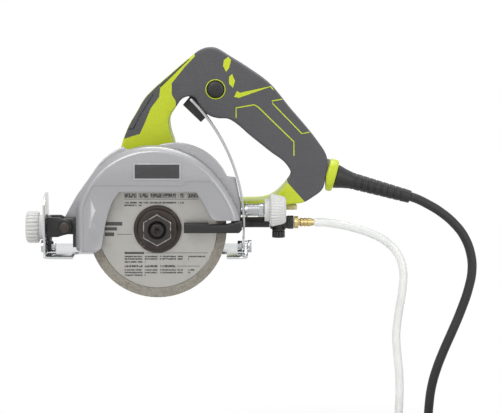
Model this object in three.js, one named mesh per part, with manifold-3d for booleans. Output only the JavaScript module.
// Hand-held wet tile cutter with a 4 in. diamond blade, in millimetres, +Z up.
// It is drawn about the blade's arbor: +X runs to the cord end, +Y to the motor side.
// The finished group is moved so that its origin is the middle of the hand grip.

import * as THREE from 'three';
import { mergeVertices } from 'three/addons/utils/BufferGeometryUtils.js';
import Module from 'manifold-3d';

const wasm = await Module();
wasm.setup();

// ---------------------------------------------------------------- clearances

const GAP = 0.3;            // between pieces that rest on each other
const FIT = 0.15;           // radial, shaft in its own collar
const RUN = 0.3;            // radial, pin in a pivot hole

// ------------------------------------------------------------ driving sizes

const BLADE = { radius: 50.8, rim: 7, core: 1.4, segment: 2.0, bore: 10 };
const FLANGE = { radius: 17.6, thick: 3.2, hub: 9.7 };
const NUT = { flats: 20.4, height: 5.6 };
const SPINDLE = { radius: 5, front: -12.6, back: 25 };

const GEAR = { teeth: 32, y0: 13.5, y1: 20.5 };
const PINION = { teeth: 8, y0: 13.2, y1: 21 };
const MOTOR = { offset: 18, angle: 108, radius: 33, wall: 2.6 };
const SHAFT_RADIUS = 4;
const CORE = { radius: 16.5, y0: 42, y1: 74 };
const COMMUTATOR = { radius: 10, y0: 80, y1: 94, brush: 8, brushHeight: 6 };
const FAN = { clear: 4.4, y0: 33, y1: 38 };
const BEARING = {
  front: 9.8, rear: 7.6, shaft: 8.4, thick: 4, rearY: 21.2, shaftY: 24.4, shaftThick: 4.5,
};

const GUARD = { x: -2.4, z: 2.5, radius: 58.7, wall: 2.2, y0: -12, y1: 7, left: -59.6, foot: -17.3 };
const CASE = { y0: 7.3, plate: 4, y1: 26, wall: 1.5, swellX: 12.5, swellZ: 21, swell: 42 };
const HOUSING = { y0: 26.3, wall: 3, y1: 100 };
const CAP = { y1: 110, wall: 5, slots: 12, slotFrom: 15, slotTo: 25, slotWide: 2.8 };

const HANDLE = { y0: 26.4, y1: 62.4, skin: 2.2, wall: 2.8, edge: 4, neck: 25 };
const TRIGGER = { x: 24.2, z: 99, y0: 35, y1: 54, pin: 1.2 };
const LOCK = { x: 42.3, z: 101.5, radius: 6.4, proud: 2 };
const SWITCH = { x0: 37, x1: 61, y0: 36, y1: 53, z0: 90, z1: 110 };

const SOLE = { z: -19.8, thick: 1.6, x0: -82.9, x1: 66.5, y0: -23, y1: 65, corner: 8 };
const NOTCH = { x0: -60.9, x1: 51, y1: 8, corner: 4 };
const BEVEL = { y: 4, z: -13.4, pin: 2, ear: 4.2, most: 45 };
const QUADRANT = { radius: 40, thick: 1.3, bolt: 2.5, boltY: 5, boltZ: 0.8 };
const BRACKET = { x0: -81.3, thick: 2.3, top: 8.5, bottom: -6, y0: -2.2, y1: 19.7, ear: 3.4 };
const DEPTH = { x: -68.5, z: 1.1, barrel: 5.5, pin: 2.2, most: 24, radius: 132 };
const STRIP = { thick: 1.6, y0: 4.5, y1: 19.5, top: 45.4, slot: 7.6 };
const CLAMP = { x0: 54, x1: 90, y: 12, z: 12.7, bolt: 3, spacer: 5.2, spacerEnd: 78.6 };
const DEPTH_KNOB = { radius: 12.1, hub: 7.8, x0: 82.6, x1: 94.7, flutes: 12 };
const BEVEL_KNOB = { radius: 11.8, hub: 7.5, x0: -97, x1: -87.6, flutes: 12 };

const WATER = { y: 27, z: 2.1, pipe: 3.9, body: 5, turnX: 57.5, valveX: 89.3, armY: -5 };
const BADGE = { x0: -17.3, x1: 17.7, z0: 37, z1: 49.5, thick: 0.6 };
const FOOT_BOSS = { x0: 94.4, x1: 103.4, near: 8.4, far: 1.6, z0: 10.4, z1: 14.2 };
const SCREW = { radius: 3.2, head: 2.2, slot: 1 };
const CORD = { radius: 3.5, y: 44.4 };
const EXIT = { x: 125.2, z: 37.2, lean: -15.5 };
const HOSE = { radius: 3.175 };
const PLUG = { wide: 27, long: 27, corner: 5, blade: 1.5, spread: 12.7, reach: 17, earth: 2.4 };
const TAP = { outer: 13, mouth: 9.5, deep: 10, y0: -64 };
const FLOOR = -186;         // level that the put-away coils lie on, below the tool

const GRIP = new THREE.Vector3(70, 44.4, 92);

// ------------------------------------------------------ values worked out

const motorX = MOTOR.offset * Math.cos(THREE.MathUtils.degToRad(MOTOR.angle));
const motorZ = MOTOR.offset * Math.sin(THREE.MathUtils.degToRad(MOTOR.angle));
const gearModule = 2 * MOTOR.offset / (GEAR.teeth + PINION.teeth);
const handleMid = (HANDLE.y0 + HANDLE.y1) / 2;
const soleTop = SOLE.z + SOLE.thick;
const caseFloor = CASE.y0 + CASE.plate + 1;
const motorInside = MOTOR.radius - MOTOR.wall;
const caseRadius = gearModule * (GEAR.teeth / 2 + 1) + 0.6 + CASE.wall;
const strutX = DEPTH.x + Math.sqrt(DEPTH.radius ** 2 - (CLAMP.z - DEPTH.z) ** 2);

// --------------------------------------------------------- solid helpers

function solid(geometry) {
  const bare = geometry.clone();
  bare.deleteAttribute('normal');
  bare.deleteAttribute('uv');
  const merged = mergeVertices(bare, 1e-4);
  const points = merged.attributes.position.array;
  const corners = [];
  const index = merged.index.array;
  for (let i = 0; i < index.length; i += 3) {
    const [a, b, c] = index.slice(i, i + 3);
    if (a !== b && b !== c && c !== a) corners.push(a, b, c);
  }
  const make = (list) => new wasm.Manifold(new wasm.Mesh({
    numProp: 3,
    vertProperties: Float32Array.from(points),
    triVerts: Uint32Array.from(list),
  }));
  const made = make(corners);
  return made.volume() > 0 ? made : make(corners.reverse());
}

function join(...pieces) {
  return pieces.reduce((whole, piece) => whole.add(piece));
}

function cut(whole, ...tools) {
  return tools.reduce((left, tool) => left.subtract(tool), whole);
}

function box(x0, x1, y0, y1, z0, z1) {
  const geometry = new THREE.BoxGeometry(x1 - x0, y1 - y0, z1 - z0);
  geometry.translate((x0 + x1) / 2, (y0 + y1) / 2, (z0 + z1) / 2);
  return solid(geometry);
}

// Frames that turn a piece drawn about or along one axis into its place.
// Each gives the directions of the drawing's own x, y and z.
const ALONG_X = [[0, 1, 0], [1, 0, 0], [0, 0, -1]];
const ALONG_Y = [[1, 0, 0], [0, 1, 0], [0, 0, 1]];
const ALONG_Z = [[0, 1, 0], [0, 0, 1], [1, 0, 0]];
const FACING_X = [[0, 1, 0], [0, 0, 1], [1, 0, 0]];
const FACING_Y = [[1, 0, 0], [0, 0, 1], [0, -1, 0]];
const FACING_Z = [[1, 0, 0], [0, 1, 0], [0, 0, 1]];

function place(geometry, frame, x, y, z) {
  const [u, v, w] = frame.map((direction) => new THREE.Vector3(...direction));
  const matrix = new THREE.Matrix4().makeBasis(u, v, w).setPosition(x, y, z);
  geometry.applyMatrix4(matrix);
  return solid(geometry);
}

function axleX(radius, x0, x1, y, z, sides = 24) {
  const rod = new THREE.CylinderGeometry(radius, radius, x1 - x0, sides);
  return place(rod, ALONG_X, (x0 + x1) / 2, y, z);
}

function axleY(radius, y0, y1, x, z, sides = 24) {
  const rod = new THREE.CylinderGeometry(radius, radius, y1 - y0, sides);
  return place(rod, ALONG_Y, x, (y0 + y1) / 2, z);
}

function axleZ(radius, z0, z1, x, y, sides = 24) {
  const rod = new THREE.CylinderGeometry(radius, radius, z1 - z0, sides);
  return place(rod, ALONG_Z, x, y, (z0 + z1) / 2);
}

function turned(profile, frame, x, y, z, sides = 28) {
  const points = profile.map(([radius, along]) => new THREE.Vector2(radius, along));
  return place(new THREE.LatheGeometry(points, sides), frame, x, y, z);
}

// The points of an outline, with none that repeats and none in the middle of a straight line.
function cornersOf(path) {
  const points = path.getPoints(10);
  const apart = points.filter((p, i) => p.distanceTo(points[(i + 1) % points.length]) > 1e-3);
  return apart.filter((p, i) => {
    const before = apart[(i + apart.length - 1) % apart.length];
    const after = apart[(i + 1) % apart.length];
    const turn = p.clone().sub(before).normalize().cross(after.clone().sub(p).normalize());
    return Math.abs(turn) > 1e-3;
  });
}

function slab(shape, depth, bevel = 0) {
  return new THREE.ExtrudeGeometry(new THREE.Shape(cornersOf(shape)), {
    depth: depth - 2 * bevel,
    bevelEnabled: bevel > 0,
    bevelSize: bevel,
    bevelThickness: bevel,
    bevelOffset: -bevel,
    bevelSegments: 1,
  }).translate(0, 0, bevel);
}

// A plate whose outline is drawn in X and Z, and fills y0 to y1.
function plateXZ(shape, y0, y1, bevel = 0) {
  return place(slab(shape, y1 - y0, bevel), FACING_Y, 0, y1, 0);
}

// A plate whose outline is drawn in Y and Z, and fills x0 to x1.
function plateYZ(shape, x0, x1) {
  return place(slab(shape, x1 - x0), FACING_X, x0, 0, 0);
}

function plateXY(shape, z0, z1) {
  return place(slab(shape, z1 - z0), FACING_Z, 0, 0, z0);
}

function polygon(points) {
  return new THREE.Shape(points.map(([a, b]) => new THREE.Vector2(a, b)));
}

function smoothLoop(points, count) {
  const knots = points.map(([a, b]) => new THREE.Vector3(a, b, 0));
  const curve = new THREE.CatmullRomCurve3(knots, true, 'centripetal');
  return curve.getSpacedPoints(count).slice(0, count).map((p) => [p.x, p.y]);
}

// Moves a dense loop sideways; points that would fold over the loop are left out.
function offsetLoop(loop, distance) {
  const moved = loop.map(([a, b], i) => {
    const [a0, b0] = loop[(i + loop.length - 1) % loop.length];
    const [a1, b1] = loop[(i + 1) % loop.length];
    const length = Math.hypot(a1 - a0, b1 - b0);
    return [a - (b1 - b0) / length * distance, b + (a1 - a0) / length * distance];
  });
  const reach = Math.abs(distance) * 0.97;
  return moved.filter(([a, b]) => loop.every(([c, d]) => Math.hypot(a - c, b - d) >= reach));
}

function roundedRectangle(a0, a1, b0, b1, radius) {
  const shape = new THREE.Shape();
  shape.absarc(a1 - radius, b0 + radius, radius, -Math.PI / 2, 0);
  shape.absarc(a1 - radius, b1 - radius, radius, 0, Math.PI / 2);
  shape.absarc(a0 + radius, b1 - radius, radius, Math.PI / 2, Math.PI);
  shape.absarc(a0 + radius, b0 + radius, radius, Math.PI, 1.5 * Math.PI);
  return shape;
}

// The belt-shaped outline round two circles.
function belt(a0, b0, r0, a1, b1, r1) {
  const distance = Math.hypot(a1 - a0, b1 - b0);
  const lean = Math.atan2(b1 - b0, a1 - a0);
  const side = Math.acos((r0 - r1) / distance);
  const shape = new THREE.Shape();
  shape.absarc(a0, b0, r0, lean + side, lean - side + 2 * Math.PI);
  shape.absarc(a1, b1, r1, lean - side, lean + side);
  return shape;
}

function sector(a, b, r0, r1, from, to, steps = 16) {
  const points = [];
  const at = (radius, degrees) => {
    const angle = THREE.MathUtils.degToRad(degrees);
    points.push([a + radius * Math.cos(angle), b + radius * Math.sin(angle)]);
  };
  for (let i = 0; i <= steps; i++) at(r1, from + (to - from) * i / steps);
  for (let i = steps; i >= 0; i--) at(r0, from + (to - from) * i / steps);
  return polygon(points);
}

// A bent rod along a list of points; its section has the given number of sides.
function bentRod(points, radius, steps, sides = 8) {
  const knots = points.map(([x, y, z]) => new THREE.Vector3(x, y, z));
  const path = new THREE.CatmullRomCurve3(knots, false, 'centripetal');
  const section = new THREE.Shape();
  for (let i = 0; i < sides; i++) {
    const angle = 2 * Math.PI * i / sides;
    const corner = [radius * Math.cos(angle), radius * Math.sin(angle)];
    if (i === 0) section.moveTo(...corner);
    else section.lineTo(...corner);
  }
  return solid(new THREE.ExtrudeGeometry(section, { extrudePath: path, steps }));
}

// ------------------------------------------------------------ the scene

const tool = new THREE.Group();
tool.position.copy(GRIP).negate();

const FINISH = {
  lime: { color: 0xb9cc2e, roughness: 0.45, metalness: 0 },
  overmould: { color: 0x5a5a5f, roughness: 0.85, metalness: 0 },
  black: { color: 0x17171a, roughness: 0.6, metalness: 0 },
  casting: { color: 0xa5a5a8, roughness: 0.42, metalness: 0.85 },
  steel: { color: 0xc4c6c9, roughness: 0.25, metalness: 1 },
  dark_steel: { color: 0x2b2624, roughness: 0.5, metalness: 0.7 },
  blade: { color: 0xb9b7ae, roughness: 0.38, metalness: 0.8 },
  diamond: { color: 0x9a9080, roughness: 0.85, metalness: 0.4 },
  brass: { color: 0xc2a255, roughness: 0.3, metalness: 1 },
  knob: { color: 0xd3d3d1, roughness: 0.5, metalness: 0 },
  tan: { color: 0xcfc090, roughness: 0.5, metalness: 0 },
  copper: { color: 0xb4693c, roughness: 0.45, metalness: 0.9 },
  carbon: { color: 0x222222, roughness: 0.8, metalness: 0.1 },
  clear: { color: 0xe9ebe8, roughness: 0.15, metalness: 0 },
};

function add(name, manifold, finish) {
  const { vertProperties, triVerts } = manifold.getMesh();
  const geometry = new THREE.BufferGeometry();
  geometry.setAttribute('position', new THREE.Float32BufferAttribute(vertProperties, 3));
  geometry.setIndex(Array.from(triVerts));
  geometry.computeVertexNormals();
  const mesh = new THREE.Mesh(geometry, new THREE.MeshStandardMaterial(FINISH[finish]));
  mesh.name = name;
  tool.add(mesh);
}

// ------------------------------------------------- blade and its clamping

function buildBlade() {
  const seam = BLADE.radius - BLADE.rim;
  const half = BLADE.core / 2;
  const core = cut(axleY(seam - GAP, -half, half, 0, 0, 60), axleY(BLADE.bore, -2, 2, 0, 0));
  add('blade_core', core, 'blade');
  const tip = BLADE.segment / 2;
  const rim = cut(axleY(BLADE.radius, -tip, tip, 0, 0, 60), axleY(seam, -2, 2, 0, 0, 60));
  add('diamond_rim', rim, 'diamond');
}

function buildClamping() {
  const face = BLADE.core / 2 + GAP;
  const bore = axleY(SPINDLE.radius + FIT, -20, 20, 0, 0);
  const inner = join(
    axleY(FLANGE.radius, face, face + FLANGE.thick, 0, 0),
    axleY(FLANGE.hub, -face + GAP, face + 1, 0, 0),
  );
  add('inner_flange', cut(inner, bore), 'dark_steel');

  const out = face + FLANGE.thick + 1;
  const outer = turned([
    [0, -out], [FLANGE.hub + 4, -out], [FLANGE.radius, -out + 2],
    [FLANGE.radius, -face], [0, -face],
  ], ALONG_Y, 0, 0, 0, 32);
  add('outer_flange', cut(outer, bore), 'dark_steel');

  const nutBack = -out - GAP;
  const across = NUT.flats / Math.sqrt(3);
  const nut = axleY(across, nutBack - NUT.height, nutBack, 0, 0, 6);
  add('clamp_nut', cut(nut, bore), 'dark_steel');

  const socket = axleY(1.8, SPINDLE.front - 1, SPINDLE.front + 3, 0, 0, 16);
  const spindle = axleY(SPINDLE.radius, SPINDLE.front, SPINDLE.back, 0, 0);
  add('spindle', cut(spindle, socket), 'steel');
}

// ------------------------------------------------------------ the gears

function toothedOutline(teeth, phase) {
  const pitch = gearModule * teeth / 2;
  const tip = pitch + 0.85 * gearModule;
  const root = pitch - 1.15 * gearModule;
  const points = [];
  for (let i = 0; i < teeth; i++) {
    const centre = (2 * Math.PI * i + phase) / teeth;
    const at = (radius, share) => {
      const angle = centre + share * 2 * Math.PI / teeth;
      points.push([radius * Math.cos(angle), radius * Math.sin(angle)]);
    };
    at(root, -0.32);
    at(pitch, -0.205);
    at(tip, -0.1);
    at(tip, 0.1);
    at(pitch, 0.205);
    at(root, 0.32);
  }
  return points;
}

// Both gears turn their tooth or gap to the line between the two centres.
function buildGears() {
  const line = THREE.MathUtils.degToRad(MOTOR.angle);
  const wheel = plateXZ(polygon(toothedOutline(GEAR.teeth, line * GEAR.teeth)), GEAR.y0, GEAR.y1);
  add('spindle_gear', cut(wheel, axleY(SPINDLE.radius + FIT, 0, 40, 0, 0)), 'steel');

  const gapPhase = (line + Math.PI) * PINION.teeth + Math.PI;
  const outline = toothedOutline(PINION.teeth, gapPhase).map(([a, b]) => [a + motorX, b + motorZ]);
  const pinion = plateXZ(polygon(outline), PINION.y0, PINION.y1);
  const shaft = axleY(SHAFT_RADIUS, PINION.y1 - 0.1, HOUSING.y1 + 5.5, motorX, motorZ, 24);
  add('armature_shaft', join(pinion, shaft), 'steel');
}

function ring(name, outer, inner, y0, y1, x, z, finish) {
  add(name, cut(axleY(outer, y0, y1, x, z), axleY(inner, y0 - 1, y1 + 1, x, z)), finish);
}

function buildBearings() {
  const spindleBore = SPINDLE.radius + FIT;
  const { front, rear, shaft, thick, rearY, shaftY, shaftThick } = BEARING;
  ring('spindle_bearing_front', front, spindleBore, CASE.y0 + GAP, caseFloor, 0, 0, 'steel');
  ring('spindle_bearing_rear', rear, spindleBore, rearY, rearY + thick, 0, 0, 'steel');
  const shaftBore = SHAFT_RADIUS + FIT;
  ring('armature_bearing_front', shaft, shaftBore, shaftY, shaftY + shaftThick, motorX, motorZ, 'steel');
  const capSeat = HOUSING.y1 + 1;
  ring('armature_bearing_rear', shaft, shaftBore, capSeat, capSeat + thick, motorX, motorZ, 'steel');
}

// ------------------------------------------------------------ the motor

function buildMotor() {
  const shaftBore = SHAFT_RADIUS + FIT;
  const outside = motorInside - GAP;
  const airGap = 0.8;
  ring('cooling_fan', motorInside - FAN.clear, shaftBore, FAN.y0, FAN.y1, motorX, motorZ, 'black');
  ring('armature_core', CORE.radius, shaftBore, CORE.y0, CORE.y1, motorX, motorZ, 'copper');
  ring('commutator', COMMUTATOR.radius, shaftBore, COMMUTATOR.y0, COMMUTATOR.y1, motorX, motorZ, 'copper');
  ring('stator', outside, CORE.radius + airGap, CORE.y0, CORE.y1, motorX, motorZ, 'dark_steel');
  const middle = (COMMUTATOR.y0 + COMMUTATOR.y1) / 2;
  const halfLong = COMMUTATOR.brush / 2;
  const halfHigh = COMMUTATOR.brushHeight / 2;
  for (const [name, side] of [['carbon_brush_left', -1], ['carbon_brush_right', 1]]) {
    const ends = [COMMUTATOR.radius + 0.4, outside].map((reach) => motorX + side * reach);
    const brush = box(
      Math.min(...ends), Math.max(...ends),
      middle - halfLong, middle + halfLong, motorZ - halfHigh, motorZ + halfHigh,
    );
    add(name, brush, 'carbon');
  }
}

// The front wall closes the gear case and carries the rear ends of both shafts.
function buildHousing() {
  const wallOutline = belt(0, 0, caseRadius, motorX, motorZ, MOTOR.radius);
  const wallBack = HOUSING.y0 + HOUSING.wall;
  const { rear, shaft, thick, rearY, shaftY } = BEARING;
  let housing = join(
    plateXZ(wallOutline, HOUSING.y0, wallBack),
    axleY(MOTOR.radius, wallBack - 0.1, HOUSING.y1, motorX, motorZ, 36),
  );
  housing = cut(housing, axleY(motorInside, wallBack, HOUSING.y1 + 1, motorX, motorZ, 36));
  const bossWall = 1.6;
  const bosses = join(
    axleY(rear + bossWall, rearY, HOUSING.y0 + 0.1, 0, 0),
    axleY(shaft + bossWall + 0.4, shaftY, HOUSING.y0 + 0.1, motorX, motorZ),
  );
  housing = cut(
    join(housing, bosses),
    axleY(rear + FIT, rearY - 1, rearY + thick + 0.4, 0, 0),
    axleY(shaft + FIT, shaftY - 1, wallBack + 1, motorX, motorZ),
  );
  add('motor_housing', housing, 'lime');
}

function buildEndCap() {
  const y0 = HOUSING.y1 + GAP;
  const { y1, wall, slots, slotFrom, slotTo, slotWide } = CAP;
  let cap = turned([
    [0, y0], [MOTOR.radius, y0], [MOTOR.radius, y1 - wall],
    [MOTOR.radius - wall, y1], [0, y1],
  ], ALONG_Y, motorX, 0, motorZ, 36);
  cap = cut(cap, axleY(motorInside, y0 - 1, y1 - wall, motorX, motorZ, 36));
  const seat = axleY(BEARING.shaft + 2.6, y0, y1 - 1, motorX, motorZ);
  const seatDepth = HOUSING.y1 + 1 + BEARING.thick + 1;
  cap = cut(join(cap, seat), axleY(BEARING.shaft + FIT, y0 - 1, seatDepth, motorX, motorZ));
  for (let i = 0; i < slots; i++) {
    const slot = box(slotFrom, slotTo, y1 - wall - 3, y1 + 2, -slotWide / 2, slotWide / 2);
    cap = cut(cap, slot.rotate(0, 360 * i / slots, 0).translate(motorX, 0, motorZ));
  }
  add('motor_end_cap', cap, 'overmould');
}

// --------------------------------------------------- gear case and guard

function guardArc(radius, x1, shape) {
  const left = Math.PI - Math.acos((GUARD.x - GUARD.left - (GUARD.radius - radius)) / radius);
  const right = THREE.MathUtils.degToRad(38);
  shape.absarc(GUARD.x, GUARD.z, radius, left, right, true);
  shape.quadraticCurveTo(x1 - 5.2, 27, x1, 13);
  return shape;
}

// The case's back plate shows past the guard as a swell and an ear at the right and a wedge at the left.
function backPlateOutline() {
  const shape = new THREE.Shape();
  shape.moveTo(-59.8, -14);
  shape.lineTo(-59.8, 7.3);
  shape.lineTo(-69.4, 7.3);
  shape.lineTo(-60.3, 23.7);
  shape.lineTo(-43.9, 46.8);
  shape.quadraticCurveTo(-36, 56, -25.3, 60);
  const turn = THREE.MathUtils.degToRad;
  shape.absarc(GUARD.x, GUARD.z, GUARD.radius, turn(110), turn(92), true);
  shape.absarc(CASE.swellX, CASE.swellZ, CASE.swell, turn(108), turn(24), true);
  shape.lineTo(57.2, 37.3);
  shape.lineTo(61.3, 18);
  shape.lineTo(61.3, 7.5);
  shape.lineTo(49, 7.5);
  shape.lineTo(45, -14);
  return shape;
}

function buildGearCase() {
  const plateBack = CASE.y0 + CASE.plate;
  const chamber = belt(0, 0, caseRadius, motorX, motorZ, MOTOR.radius);
  const hollow = belt(0, 0, caseRadius - CASE.wall, motorX, motorZ, MOTOR.radius - CASE.wall - 1.5);
  let gearCase = join(
    plateXZ(backPlateOutline(), CASE.y0, plateBack),
    plateXZ(chamber, plateBack - 0.1, CASE.y1),
    box(50, 61.3, CASE.y0, 17, 7.5, 18),
  );
  gearCase = cut(
    gearCase,
    plateXZ(hollow, GEAR.y0 - 1, CASE.y1 + 1),
    axleY(BEARING.front + FIT, 0, GEAR.y0 - 1, 0, 0),
    axleX(CLAMP.bolt + FIT, CLAMP.x0 - 0.5, 70, CLAMP.y, CLAMP.z, 24),
  );
  add('gear_case', gearCase, 'casting');
}

function buildGuard() {
  const outline = new THREE.Shape();
  outline.moveTo(-46.2, GUARD.foot);
  outline.lineTo(GUARD.left, GUARD.foot);
  guardArc(GUARD.radius, 59.2, outline);
  outline.lineTo(60.7, 7);
  outline.lineTo(43.1, 7);
  outline.lineTo(40.2, 8.5);
  outline.lineTo(33.7, 20.9);
  outline.lineTo(28.6, 28.3);
  outline.lineTo(-27.6, 28.3);
  outline.lineTo(-32.8, 20.9);
  outline.lineTo(-35.7, 12.9);
  outline.lineTo(-38, 4.1);
  outline.lineTo(-41, -13.2);

  const hollow = new THREE.Shape();
  hollow.moveTo(0, -30);
  hollow.lineTo(GUARD.left + GUARD.wall, -30);
  guardArc(GUARD.radius - GUARD.wall, 59.2 - GUARD.wall, hollow);
  hollow.lineTo(60.7 - GUARD.wall, 8.5);
  hollow.lineTo(60.7 - GUARD.wall, -30);

  const edge = 1.8;
  const casting = plateXZ(outline, GUARD.y0, GUARD.y1 + edge, edge);
  const guard = cut(
    casting,
    plateXZ(hollow, GUARD.y0 + 2, GUARD.y1 + 10),
    box(-80, 80, GUARD.y1, GUARD.y1 + 10, -60, 80),
  );
  add('blade_guard', guard, 'casting');

  const face = GUARD.y0 - GAP;
  add('guard_badge', box(BADGE.x0, BADGE.x1, face - BADGE.thick, face, BADGE.z0, BADGE.z1), 'black');
}

// ------------------------------------------------------------ the handle

const OUTER_LOOP = [
  [-30, 38], [-28.5, 57.3], [-22.8, 73.7], [-16.4, 84.9], [-9.6, 96], [8.4, 112.6], [22.9, 124.9],
  [30.4, 130.3], [36.4, 132.1], [42.4, 131.6], [52.6, 125.6], [67.6, 116.2], [83, 104.8], [98.8, 85.8],
  [110.4, 72.4], [119.5, 60.8], [125.6, 50.5], [124.7, 37], [122.4, 26.5], [115, 20.5], [108, 16.6],
  [99, 15.4], [92, 14], [86, 9.2], [76, 7.6], [50, 7.6], [25, 7.6], [0, 12], [-20, 25],
];

const OPENING_LOOP = [
  [11, 42], [11.4, 60.3], [8.5, 70.1], [7.7, 79.2], [12.3, 87.5], [18.3, 95], [25.8, 95.8],
  [30.3, 89.7], [37.1, 82.2], [44, 79.9], [51.4, 79.5], [57.4, 76.2], [68, 67.1], [83.1, 55],
  [94.4, 46.3], [98.9, 37.6], [95.9, 31.6], [83.1, 20.2], [61.2, 18], [40, 18], [20, 18.5], [13, 28],
];

// The soft overmould covers the grip; this outline is where it ends on the hard shell.
const SOFT_REGION = [
  [20, 140], [22.9, 124.7], [9.5, 104], [11.5, 96], [9.5, 86], [40, 60], [90, 36], [95, 33],
  [110, 16], [112, 5], [145, 5], [145, 140],
];

function handleForm(inset, bevel) {
  const outer = offsetLoop(smoothLoop(OUTER_LOOP, 64), -inset);
  const opening = offsetLoop(smoothLoop(OPENING_LOOP, 52), inset);
  return cut(
    plateXZ(polygon(outer), HANDLE.y0 + inset, HANDLE.y1 - inset, bevel),
    plateXZ(polygon(opening), HANDLE.y0 - 1, HANDLE.y1 + 1),
  );
}

// Narrows the rear of the handle down to the cord's neck.
function neckCuts(inset) {
  const lean = Math.atan((HANDLE.y1 - HANDLE.y0 - HANDLE.neck) / 2 / 30);
  const near = box(0, 80, -40, inset, -20, 120).rotate(0, 0, THREE.MathUtils.radToDeg(lean));
  const far = near.mirror([0, 1, 0]);
  return [
    near.translate(94, HANDLE.y0, 0),
    far.translate(94, HANDLE.y1, 0),
  ];
}

function triggerOutline() {
  const { x, z } = TRIGGER;
  return polygon([
    [17.8, 89.4], [x - 1.6, 95.2], [x - 2.4, z], [x - 1.2, z + 2.4], [x + 1.2, z + 2.4], [x + 2.4, z],
    [x + 1.8, 95.2], [35.8, 81.1], [31.2, 76.6],
  ]);
}

function buildHandle() {
  const region = polygon(SOFT_REGION);
  const grown = polygon(SOFT_REGION.map(([a, b], i) => (i < 5 ? [a - GAP, b] : [a - GAP, b - GAP])));
  const whole = cut(handleForm(0, HANDLE.edge), ...neckCuts(0));
  const skinInside = cut(handleForm(HANDLE.skin, HANDLE.edge - 1), ...neckCuts(HANDLE.skin));
  const shellOutside = cut(
    handleForm(HANDLE.skin + GAP, HANDLE.edge - 1),
    ...neckCuts(HANDLE.skin + GAP),
  );
  const wallInside = HANDLE.skin + GAP + HANDLE.wall;
  const hollow = cut(handleForm(wallInside, 0), ...neckCuts(wallInside));

  const { x, z, pin } = TRIGGER;
  const triggerRoom = polygon([
    [x - 7.5, z - 15], [x - 7.5, z + 5], [x + 7.5, z + 5],
    [x + 14.5, z - 8], [x + 14.5, z - 21], [x + 6, z - 21],
  ]);
  const openings = [
    plateXZ(triggerRoom, TRIGGER.y0 - 1, TRIGGER.y1 + 1),
    axleY(LOCK.radius + 0.4, 0, SWITCH.y0, LOCK.x, LOCK.z),
    axleY(MOTOR.radius + GAP, 0, 120, motorX, motorZ, 36),
    axleY(pin + FIT, HANDLE.y0 + 3.6, HANDLE.y1 - 3.6, x, z, 16),
  ];
  const shell = cut(join(cut(whole, plateXZ(grown, 0, 90)), shellOutside), hollow, ...openings);
  const soft = cut(whole.intersect(plateXZ(region, 0, 90)), skinInside, ...openings);

  const nearHalf = box(-60, 150, 0, handleMid - GAP / 2, -20, 150);
  const farHalf = box(-60, 150, handleMid + GAP / 2, 90, -20, 150);
  add('handle_shell_near', shell.intersect(nearHalf), 'lime');
  add('handle_shell_far', shell.intersect(farHalf), 'lime');
  add('grip_overmould_near', soft.intersect(nearHalf), 'overmould');
  add('grip_overmould_far', soft.intersect(farHalf), 'overmould');
}

function buildSwitch() {
  const { x0, x1, y0, y1, z0, z1 } = SWITCH;
  const stemBore = axleY(2.4, y0 - 1, y0 + 5, LOCK.x, LOCK.z, 16);
  add('switch_body', cut(box(x0, x1, y0, y1, z0, z1), stemBore), 'black');

  const button = join(
    axleY(LOCK.radius, HANDLE.y0 - LOCK.proud, HANDLE.y0 + 5, LOCK.x, LOCK.z),
    axleY(2, HANDLE.y0 + 4, y0 - 0.4, LOCK.x, LOCK.z, 16),
  );
  add('lock_button', button, 'black');

  const blade = plateXZ(triggerOutline(), TRIGGER.y0, TRIGGER.y1);
  const eye = axleY(TRIGGER.pin + FIT, 0, 90, TRIGGER.x, TRIGGER.z, 16);
  add('trigger', cut(blade, eye), 'black');
  const pin = axleY(TRIGGER.pin, HANDLE.y0 + 3.8, HANDLE.y1 - 3.8, TRIGGER.x, TRIGGER.z, 16);
  add('trigger_pin', pin, 'steel');
}

// Screws that draw the two halves of the handle together, from the far side.
function buildHandleScrews() {
  const places = [['handle_screw_front', -12, 80], ['handle_screw_rear', 95, 22]];
  const { radius, head, slot } = SCREW;
  const top = HANDLE.y1 + head;
  for (const [name, x, z] of places) {
    const disc = axleY(radius, HANDLE.y1 + GAP, top, x, z, 16);
    const groove = box(x - slot / 2, x + slot / 2, top - 0.8, top + 1, z - radius - 1, z + radius + 1);
    add(name, cut(disc, groove), 'steel');
  }
}

function buildFootBoss() {
  const { x0, x1, near, far, z0, z1 } = FOOT_BOSS;
  add('foot_boss', box(x0, x1, handleMid - near, handleMid + far, z0, z1), 'tan');
}

// ------------------------------------------------- depth and bevel frame

function buildPivotBlock() {
  const y0 = BRACKET.y0 + BRACKET.ear + GAP;
  const y1 = BRACKET.y1 - BRACKET.ear - GAP;
  const right = GUARD.left - GAP;
  const block = join(
    axleY(DEPTH.barrel, y0, y1, DEPTH.x, DEPTH.z),
    box(DEPTH.x, right, y0 + 1, y1, DEPTH.z - DEPTH.barrel, DEPTH.z + DEPTH.barrel),
    box(right - 2.8, right, y0 + 1, y1, -14, 7),
  );
  add('pivot_block', cut(block, axleY(DEPTH.pin + RUN, -20, 40, DEPTH.x, DEPTH.z, 24)), 'black');
}

function bracketFront() {
  const foot = -4.2;
  const shape = new THREE.Shape();
  shape.moveTo(BRACKET.y0, -9);
  shape.lineTo(BRACKET.y0, BRACKET.top);
  shape.lineTo(BRACKET.y1, BRACKET.top);
  shape.lineTo(BRACKET.y1, BRACKET.bottom);
  shape.lineTo(BEVEL.y + BEVEL.ear, BEVEL.z + 2);
  shape.absarc(BEVEL.y, BEVEL.z, BEVEL.ear, 0, THREE.MathUtils.degToRad(foot - 180), true);
  return shape;
}

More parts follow.
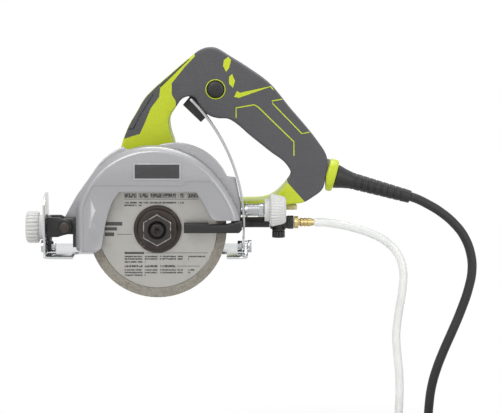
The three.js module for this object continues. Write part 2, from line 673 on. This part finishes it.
function buildFrontBracket() {
  const back = BRACKET.x0 + BRACKET.thick;
  const ear = polygon([
    [BRACKET.x0 + 0.1, BRACKET.bottom], [BRACKET.x0 + 0.1, BRACKET.top], [DEPTH.x - 4, BRACKET.top],
    [DEPTH.x, DEPTH.z + DEPTH.barrel], [DEPTH.x, DEPTH.z - DEPTH.barrel], [DEPTH.x - 5, BRACKET.bottom],
  ]);
  const ears = [BRACKET.y0, BRACKET.y1 - BRACKET.ear].map((y) => join(
    plateXZ(ear, y, y + BRACKET.ear),
    axleY(DEPTH.barrel, y, y + BRACKET.ear, DEPTH.x, DEPTH.z),
  ));
  const bracket = cut(
    join(plateYZ(bracketFront(), BRACKET.x0, back), ...ears),
    axleY(DEPTH.pin + FIT, -20, 40, DEPTH.x, DEPTH.z, 24),
    axleX(BEVEL.pin + RUN, -100, -60, BEVEL.y, BEVEL.z, 24),
    axleX(QUADRANT.bolt + FIT, -100, -76, QUADRANT.boltY, QUADRANT.boltZ, 24),
  );
  add('front_bracket', bracket, 'black');

  const pin = join(
    axleY(DEPTH.pin, BRACKET.y0 - 1, BRACKET.y1 + 1.5, DEPTH.x, DEPTH.z, 24),
    axleY(DEPTH.pin + 1.6, BRACKET.y0 - 2, BRACKET.y0 - GAP, DEPTH.x, DEPTH.z, 24),
  );
  add('depth_pivot_pin', pin, 'steel');

  const { bolt, boltY, boltZ } = QUADRANT;
  const clampBolt = join(
    axleX(bolt, BEVEL_KNOB.x0 + 5, back + 1, boltY, boltZ, 24),
    axleX(bolt + 1.2, back + GAP, back + 2.6, boltY, boltZ, 6),
  );
  add('bevel_clamp_bolt', clampBolt, 'steel');
}

function buildDepthStrip() {
  const half = STRIP.thick / 2;
  const footTop = -8;
  const from = THREE.MathUtils.radToDeg(Math.asin((footTop - DEPTH.z) / DEPTH.radius));
  const arc = sector(DEPTH.x, DEPTH.z, DEPTH.radius - half, DEPTH.radius + half, from, STRIP.top, 28);
  const footX = DEPTH.x + DEPTH.radius * Math.cos(THREE.MathUtils.degToRad(from));
  const foot = new THREE.Shape();
  foot.moveTo(BEVEL.y - BEVEL.ear, footTop + 1);
  foot.lineTo(STRIP.y1, footTop + 1);
  foot.lineTo(STRIP.y1, footTop - 2);
  foot.lineTo(BEVEL.y + BEVEL.ear, BEVEL.z);
  foot.absarc(BEVEL.y, BEVEL.z, BEVEL.ear, 0, -Math.PI, true);

  const boltAngle = THREE.MathUtils.radToDeg(Math.asin((CLAMP.z - DEPTH.z) / DEPTH.radius));
  const spare = THREE.MathUtils.radToDeg((CLAMP.bolt + 0.8) / DEPTH.radius);
  const slot = sector(
    DEPTH.x, DEPTH.z, DEPTH.radius - 6, DEPTH.radius + 6,
    boltAngle - spare, boltAngle + DEPTH.most + spare, 20,
  );
  const strip = cut(
    join(plateXZ(arc, STRIP.y0, STRIP.y1), plateYZ(foot, footX - half, footX + half)),
    plateXZ(slot, CLAMP.y - STRIP.slot / 2, CLAMP.y + STRIP.slot / 2),
    axleX(BEVEL.pin + RUN, 40, 90, BEVEL.y, BEVEL.z, 24),
  );
  add('depth_strip', strip, 'steel');
  return footX + half;
}

// --------------------------------------------------------------- the shoe

function quadrantOutline() {
  const { radius } = QUADRANT;
  const shape = new THREE.Shape();
  shape.moveTo(24, SOLE.z + 0.2);
  shape.lineTo(24, soleTop + 2);
  const turn = THREE.MathUtils.degToRad;
  shape.absarc(BEVEL.y, BEVEL.z, radius, turn(75), turn(125), false);
  shape.lineTo(-16, soleTop + 2);
  shape.lineTo(-16, SOLE.z + 0.2);
  return shape;
}

function buildShoe(stripFace) {
  const outline = roundedRectangle(SOLE.x0, SOLE.x1, SOLE.y0, SOLE.y1, SOLE.corner);
  const notch = roundedRectangle(NOTCH.x0, NOTCH.x1, SOLE.y0 - 30, NOTCH.y1, NOTCH.corner);
  const plate = cut(plateXY(outline, SOLE.z, soleTop), plateXY(notch, SOLE.z - 1, soleTop + 1));

  const frontX = SOLE.x0 + QUADRANT.thick;
  const bolt = { a: QUADRANT.boltY - BEVEL.y, b: QUADRANT.boltZ - BEVEL.z };
  const reach = Math.hypot(bolt.a, bolt.b);
  const start = THREE.MathUtils.radToDeg(Math.atan2(bolt.b, bolt.a));
  const half = QUADRANT.bolt + 0.4;
  const slot = sector(BEVEL.y, BEVEL.z, reach - half, reach + half, start, start + BEVEL.most, 12);
  const ends = [start, start + BEVEL.most].map((degrees) => {
    const angle = THREE.MathUtils.degToRad(degrees);
    const y = BEVEL.y + reach * Math.cos(angle);
    return axleX(half, SOLE.x0 - 1, frontX + 1, y, BEVEL.z + reach * Math.sin(angle), 24);
  });
  const quadrant = cut(
    plateYZ(quadrantOutline(), SOLE.x0, frontX),
    plateYZ(slot, SOLE.x0 - 1, frontX + 1),
    ...ends,
  );

  const lugX = stripFace + GAP;
  const lug = belt(BEVEL.y, BEVEL.z, BEVEL.ear, BEVEL.y, soleTop - 4, BEVEL.ear + 1.5);
  const rearLug = plateYZ(lug, lugX, lugX + SOLE.thick).intersect(box(0, 90, -20, 30, SOLE.z, 10));
  const shoe = cut(
    join(plate, quadrant, rearLug),
    axleX(BEVEL.pin + FIT, -100, -70, BEVEL.y, BEVEL.z, 24),
    axleX(BEVEL.pin + FIT, 40, 90, BEVEL.y, BEVEL.z, 24),
  );
  add('base_plate', shoe, 'steel');

  const pivot = (name, headFrom, headTo, nutFrom, nutTo) => {
    const low = Math.min(headFrom, nutFrom);
    const high = Math.max(headTo, nutTo);
    add(name, join(
      axleX(BEVEL.pin, low, high, BEVEL.y, BEVEL.z, 24),
      axleX(4.6, headFrom, headTo, BEVEL.y, BEVEL.z, 24),
      axleX(BEVEL.ear, nutFrom, nutTo, BEVEL.y, BEVEL.z, 6),
    ), 'steel');
  };
  const bracketBack = BRACKET.x0 + BRACKET.thick;
  pivot('bevel_pivot_front', SOLE.x0 - 3.2, SOLE.x0 - GAP, bracketBack + GAP, bracketBack + 3.6);
  const lugBack = lugX + SOLE.thick;
  const footFace = stripFace - STRIP.thick;
  pivot('bevel_pivot_rear', lugBack + GAP, lugBack + 3.2, footFace - 3.6, footFace - GAP);
}

// --------------------------------------------------------------- the knobs

function fluted(radius, flutes, x0, x1, y, z) {
  let knob = axleX(radius, x0, x1, y, z, 36);
  for (let i = 0; i < flutes; i++) {
    const angle = 2 * Math.PI * i / flutes;
    const cy = y + (radius + 0.6) * Math.cos(angle);
    const cz = z + (radius + 0.6) * Math.sin(angle);
    knob = cut(knob, axleX(1.3, x0 - 1, x1 + 1, cy, cz, 5));
  }
  return knob;
}

function buildKnobs() {
  const { bolt, boltY, boltZ } = QUADRANT;
  const faceX = SOLE.x0 - GAP;
  const front = BEVEL_KNOB;
  const bevelKnob = cut(
    join(
      fluted(front.radius, front.flutes, front.x0, front.x1, boltY, boltZ),
      axleX(front.hub, front.x1 - 0.4, faceX, boltY, boltZ),
    ),
    axleX(bolt + FIT, front.x0 + 5 - GAP, faceX + 1, boltY, boltZ, 24),
  );
  add('bevel_knob', bevelKnob, 'knob');

  const { x0, x1, y, z, spacerEnd } = CLAMP;
  const bore = axleX(CLAMP.bolt + FIT, x0, x1 + GAP, y, z, 24);
  const spacer = axleX(CLAMP.spacer, strutX + STRIP.thick / 2 + 0.7, spacerEnd, y, z);
  add('clamp_spacer', cut(spacer, bore), 'steel');
  add('depth_clamp_bolt', axleX(CLAMP.bolt, x0, x1, y, z, 24), 'steel');
  const rear = DEPTH_KNOB;
  const depthKnob = cut(
    join(
      fluted(rear.radius, rear.flutes, rear.x0, rear.x1, y, z),
      axleX(rear.hub, spacerEnd + GAP, rear.x0 + 0.4, y, z),
    ),
    bore,
  );
  add('depth_knob', depthKnob, 'knob');
}

// ------------------------------------------------------------ water feed

function buildWaterFeed() {
  const { y, z, pipe, body, turnX, valveX, armY } = WATER;
  const bodyX0 = valveX - 6.3;
  const bodyX1 = valveX + 11.3;
  const feed = [
    [bodyX0 - GAP, y, z], [turnX + 14, y, z], [turnX + 6, y, z], [turnX + 1.2, y - 2, z],
    [turnX, y - 8, z], [turnX, y - 18, z], [turnX, armY + GAP, z],
  ];
  add('water_pipe', bentRod(feed, pipe, 24, 12), 'black');

  const valveBody = cut(
    join(
      axleX(body, bodyX0, bodyX1, y, z, 24),
      axleZ(body, z - body - 1, z, valveX, y, 24),
    ),
    axleZ(2.3, z - 12, z - 1, valveX, y, 16),
  );
  add('valve_body', valveBody, 'black');
  const skirt = z - body - 1 - GAP;
  const valveKnob = join(
    axleZ(4.9, skirt - 5.2, skirt, valveX, y, 12),
    axleZ(2, skirt - 1, z - 1.4, valveX, y, 16),
  );
  add('valve_knob', valveKnob, 'black');

  const barb = turned([
    [0, 0], [4.6, 0], [4.6, 3.2], [2.6, 3.2], [3.4, 5], [3.4, 8], [2.9, 8.2], [3.4, 10], [3.4, 13],
    [2.4, 15], [0, 15],
  ], ALONG_X, bodyX1 + GAP, y, z, 18);
  add('hose_barb', cut(barb, axleX(1.5, bodyX1 - 5, bodyX1 + 20, y, z, 12)), 'brass');

  const arm = polygon([
    [19.7, -2.1], [19.7, 5.4], [37, 5.4], [38, 3.9], [50, 4.2],
    [60, 6.6], [62.2, 6.6], [62.2, 0.5], [60, -2.1],
  ]);
  const nozzle = cut(
    plateXZ(arm, armY - 7, armY, 1),
    axleY(1.2, armY - 1.5, armY + 1, 22.5, 1.5, 12),
  );
  add('nozzle_arm', nozzle, 'black');
}

// ----------------------------------------------------- cord and hose

const CORD_ROUTE = [
  [189.4, 44.4, 19.7], [194.4, 44.4, 17.9], [203, 44.4, 13.6], [211.6, 44.4, 8.4], [223.1, 44.4, -1.4],
  [230.7, 44.4, -11.7], [235.4, 44.4, -24.7], [236.3, 44.4, -36.1], [234.1, 44.4, -49.1],
  [227.5, 44.4, -69], [221.5, 44.4, -83.6], [215.6, 44.6, -97.4], [210.2, 45.4, -112], [206.6, 46.6, -126],
  [204.9, 48, -140], [204.5, 50, -153], [204.5, 45.5, -168], [204.5, 36, -178], [204.5, 24, -182.3],
  [204.5, 12, -182.5],
];

const HOSE_ROUTE = [
  [116.2, 27, 2.1], [125, 27, 1.8], [135.3, 27, 0.3], [147, 27, -2.6], [157.8, 27, -6.1],
  [169.1, 26.8, -11.9], [178.4, 26.5, -21.3], [182.7, 26, -33.9], [182.2, 25, -48.8], [179.2, 23, -67.5],
  [177.6, 21, -82.3], [178.4, 20, -96], [179.8, 18.5, -111], [180, 17, -126], [179.4, 16.4, -141],
  [178.8, 19.5, -156], [178.6, 27, -168.5], [178.6, 38.5, -178.5], [178.6, 51, -182.4],
  [178.6, 58, -182.8],
];

const CORD_COIL = { x: 250, y: -14, outer: 49, inner: 28, layers: 2 };
const HOSE_COIL = { x: 130, y: 84, outer: 51.8, inner: 26.3, layers: 2 };

function coilRing(name, coil, radius, finish) {
  const height = FLOOR + 2 * radius * coil.layers;
  const ringSolid = turned([
    [coil.inner, FLOOR], [coil.outer, FLOOR], [coil.outer, height], [coil.inner, height],
    [coil.inner, FLOOR],
  ], ALONG_Z, coil.x, coil.y, 0, 40);
  add(name, ringSolid, finish);
}

// A piece turned about the cord's leaning exit line.
function onExitLine(profile, sides = 32) {
  const lean = THREE.MathUtils.degToRad(EXIT.lean);
  const along = new THREE.Vector3(Math.cos(lean), 0, Math.sin(lean));
  const across = new THREE.Vector3(0, 1, 0);
  const up = new THREE.Vector3().crossVectors(across, along);
  const frame = [across, along, up].map((direction) => direction.toArray());
  return turned(profile, frame, EXIT.x, CORD.y, EXIT.z, sides);
}

function buildCord() {
  const collar = onExitLine([
    [0, 0], [11.6, 0], [12.2, 1], [12.2, 6.4], [11.4, 7.4], [0, 7.4],
  ]);
  add('cord_collar', cut(collar, box(EXIT.x - 25, EXIT.x - GAP, 0, 90, 0, 90)), 'lime');
  const relief = onExitLine([
    [0, 7.7], [9, 7.7], [8.2, 11], [6.2, 19.5], [5.6, 36], [4.8, 66.2], [0, 66.2],
  ]);
  add('strain_relief', relief, 'black');
  add('cord_tube', bentRod(CORD_ROUTE, CORD.radius, 22), 'black');
  coilRing('cord_coil', CORD_COIL, CORD.radius, 'black');
}

// The plug lies beside the coil, where the last turn leaves it heading +Y.
function buildPlug() {
  const lane = CORD_COIL.x + CORD_COIL.outer - CORD.radius;
  const level = FLOOR + 13.5;
  const start = CORD_COIL.y;
  const relief = turned([
    [0, 27.4], [4.6, 27.4], [6.5, 40], [0, 40],
  ], ALONG_Y, lane, start, level, 16);
  const { wide, long, corner, blade, spread, reach, earth } = PLUG;
  const front = start + 39 + long;
  const shape = roundedRectangle(lane - wide / 2, lane + wide / 2, start + 39, front, corner);
  const body = join(plateXY(shape, FLOOR, FLOOR + wide), relief);
  add('plug_body', body, 'black');

  const face = front + GAP;
  const blades = [-spread / 2, spread / 2].map((side) => {
    const middle = lane + side;
    const half = blade / 2;
    return box(middle - half, middle + half, face + 1, face + 1 + reach, level - 6.5, level - 0.2);
  });
  const pins = join(
    box(lane - 9, lane + 9, face, face + 1.2, level - 8, level + 8),
    ...blades,
    axleY(earth, face + 1, face + reach + 3.5, lane, level + 5.2, 16),
  );
  add('plug_pins', pins, 'brass');
}

function buildHose() {
  add('hose_tube', bentRod(HOSE_ROUTE, HOSE.radius, 22), 'clear');
  coilRing('hose_coil', HOSE_COIL, HOSE.radius, 'clear');
  const lane = HOSE_COIL.x - HOSE_COIL.outer + HOSE.radius;
  const { outer, mouth: mouthRadius, deep, y0 } = TAP;
  const level = FLOOR + outer + 0.2;
  const connector = turned([
    [0, y0 + 37.8], [3.2, y0 + 37.8], [3.2, y0 + 26], [7, y0 + 26], [7, y0 + 18],
    [outer, y0 + 16], [outer, y0], [0, y0],
  ], ALONG_Y, lane, HOSE_COIL.y, level, 24);
  const end = HOSE_COIL.y + y0;
  const mouth = axleY(mouthRadius, end - 1, end + deep, lane, level, 24);
  add('tap_connector', cut(connector, mouth), 'black');
}

// --------------------------------------------------------------- assembly

buildBlade();
buildClamping();
buildGears();
buildBearings();
buildMotor();
buildHousing();
buildEndCap();
buildGearCase();
buildGuard();
buildHandle();
buildSwitch();
buildHandleScrews();
buildFootBoss();
buildPivotBlock();
buildFrontBracket();
buildShoe(buildDepthStrip());
buildKnobs();
buildWaterFeed();
buildCord();
buildPlug();
buildHose();

export default tool;
